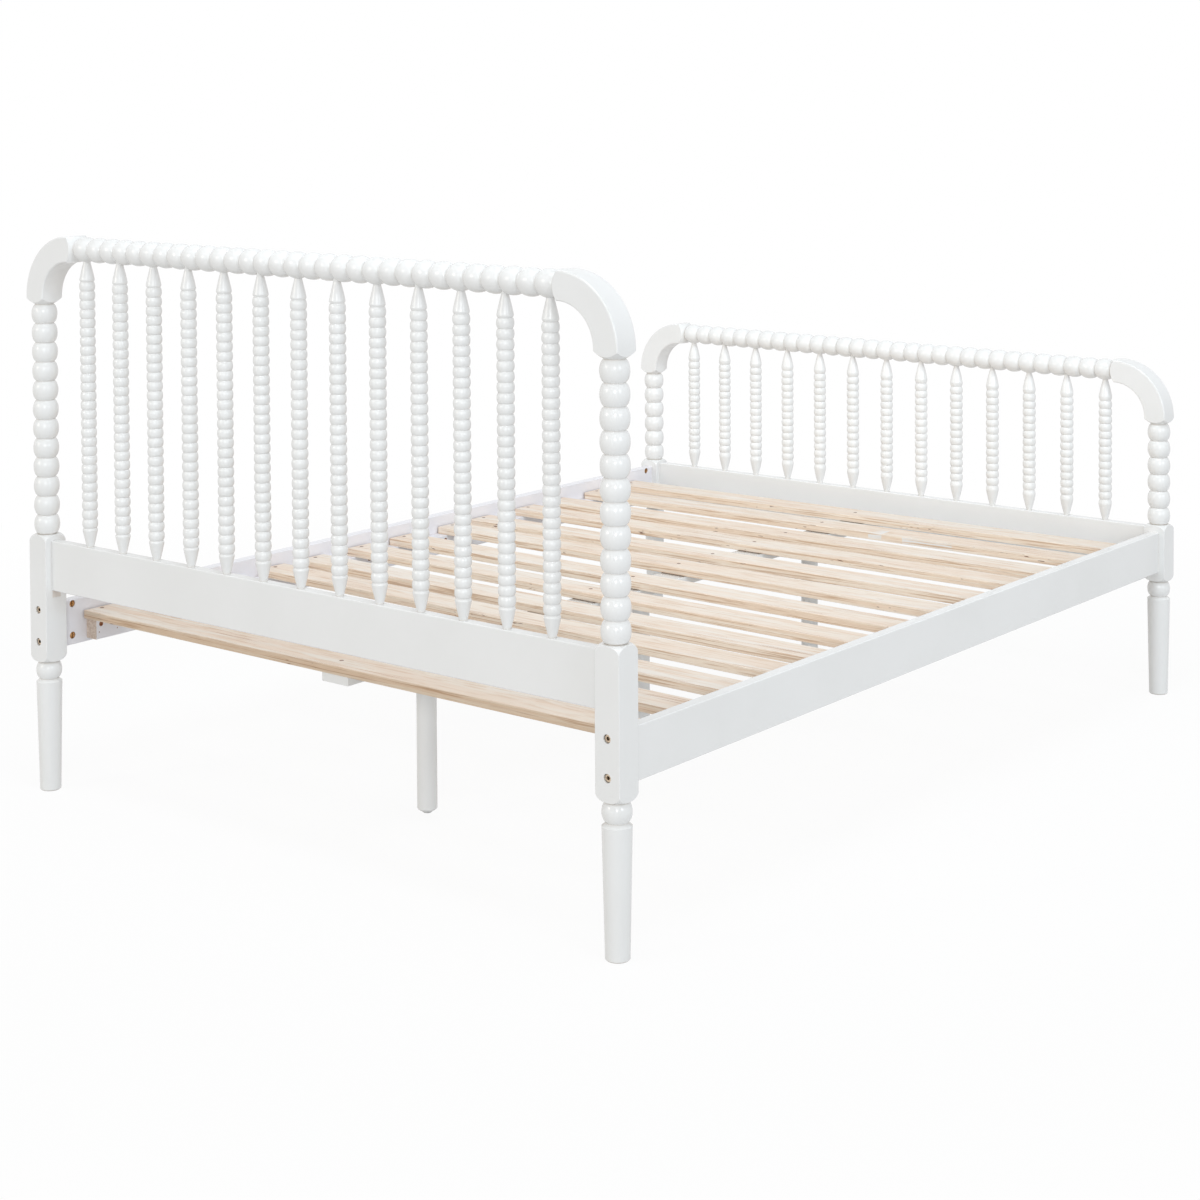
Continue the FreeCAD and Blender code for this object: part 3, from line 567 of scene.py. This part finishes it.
def nearness(tree):
    """1 on the floor by the bed and 0 well away from it."""
    geometry = tree.nodes.new("ShaderNodeNewGeometry")
    distance = tree.nodes.new("ShaderNodeVectorMath")
    distance.operation = "LENGTH"
    tree.links.new(geometry.outputs["Position"], distance.inputs[0])
    near = tree.nodes.new("ShaderNodeMapRange")
    near.interpolation_type = "SMOOTHSTEP"
    near.inputs["From Min"].default_value = floor_near_end
    near.inputs["From Max"].default_value = floor_far_start
    near.inputs["To Min"].default_value = 1.0
    near.inputs["To Max"].default_value = 0.0
    tree.links.new(distance.outputs["Value"], near.inputs["Value"])
    return near.outputs[0]


def floor_material():
    """White to the camera, with a share of the bed's shadow, and pale for the light that it gives back,
    darker near the bed as painted shade under it.
    """
    material = bpy.data.materials.new("floor")
    material.use_nodes = True
    tree = material.node_tree
    tree.nodes.clear()
    output = tree.nodes.new("ShaderNodeOutputMaterial")
    near = nearness(tree)
    tone = tree.nodes.new("ShaderNodeMix")
    tone.data_type = "RGBA"
    tone.inputs[mix_first].default_value = (*floor_far, 1)
    tone.inputs[mix_second].default_value = (*floor_shaded_near, 1)
    tree.links.new(near, tone.inputs[0])
    pale = tree.nodes.new("ShaderNodeBsdfDiffuse")
    tree.links.new(tone.outputs[mix_result], pale.inputs["Color"])
    shadowed = tree.nodes.new("ShaderNodeBsdfDiffuse")
    shadowed.inputs["Color"].default_value = (*white, 1)
    glow = tree.nodes.new("ShaderNodeEmission")
    share = tree.nodes.new("ShaderNodeMath")
    share.operation = "MULTIPLY"
    share.inputs[1].default_value = floor_shadow_share
    tree.links.new(near, share.inputs[0])
    shown = tree.nodes.new("ShaderNodeMixShader")
    tree.links.new(share.outputs[0], shown.inputs[0])
    tree.links.new(glow.outputs[0], shown.inputs[1])
    tree.links.new(shadowed.outputs[0], shown.inputs[2])
    chosen = tree.nodes.new("ShaderNodeMixShader")
    tree.links.new(camera_rays(tree), chosen.inputs[0])
    tree.links.new(pale.outputs[0], chosen.inputs[1])
    tree.links.new(shown.outputs[0], chosen.inputs[2])
    tree.links.new(chosen.outputs[0], output.inputs["Surface"])
    return material


def make_floor():
    half = floor_width / 2
    corners = [(-half, -half, 0), (half, -half, 0), (half, half, 0), (-half, half, 0)]
    mesh = bpy.data.meshes.new("floor")
    mesh.from_pydata(corners, [], [(0, 1, 2, 3)])
    mesh.materials.append(floor_material())
    floor = bpy.data.objects.new("floor", mesh)
    bpy.context.scene.collection.objects.link(floor)


def make_lamps():
    for name, place, aim, width, spread, power, colour in lamps:
        light = bpy.data.lights.new(name, "AREA")
        light.shape = "DISK"
        light.size = width
        light.spread = math.radians(spread)
        light.energy = power
        light.color = colour
        lamp = bpy.data.objects.new(name, light)
        bpy.context.scene.collection.objects.link(lamp)
        lamp.visible_camera = False
        lamp.location = place
        lamp.rotation_euler = (Vector(aim) - Vector(place)).to_track_quat("-Z", "Y").to_euler()


def make_camera():
    """A camera that looks almost level, with its lens shifted down as the photograph needs."""
    forward = Vector((math.sin(camera_yaw) * math.cos(camera_pitch),
                      -math.cos(camera_yaw) * math.cos(camera_pitch), -math.sin(camera_pitch)))
    level = Vector((-math.cos(camera_yaw), -math.sin(camera_yaw), 0))
    upright = level.cross(forward)
    right = level * math.cos(camera_roll) + upright * math.sin(camera_roll)
    up = upright * math.cos(camera_roll) - level * math.sin(camera_roll)
    lens = bpy.data.cameras.new("camera")
    lens.sensor_width = sensor_millimetres
    lens.lens = sensor_millimetres * focal_pixels / picture_pixels
    lens.shift_x = picture_middle_share - view_centre_pixels[0] / picture_pixels
    lens.shift_y = view_centre_pixels[1] / picture_pixels - picture_middle_share
    camera = bpy.data.objects.new("camera", lens)
    bpy.context.scene.collection.objects.link(camera)
    turn = Matrix((right, up, -forward)).transposed().to_4x4()
    camera.matrix_world = Matrix.Translation(camera_place) @ turn
    bpy.context.scene.camera = camera


bpy.context.scene.view_settings.view_transform = "Standard"
dress_all()
make_world()
make_floor()
make_lamps()
make_camera()
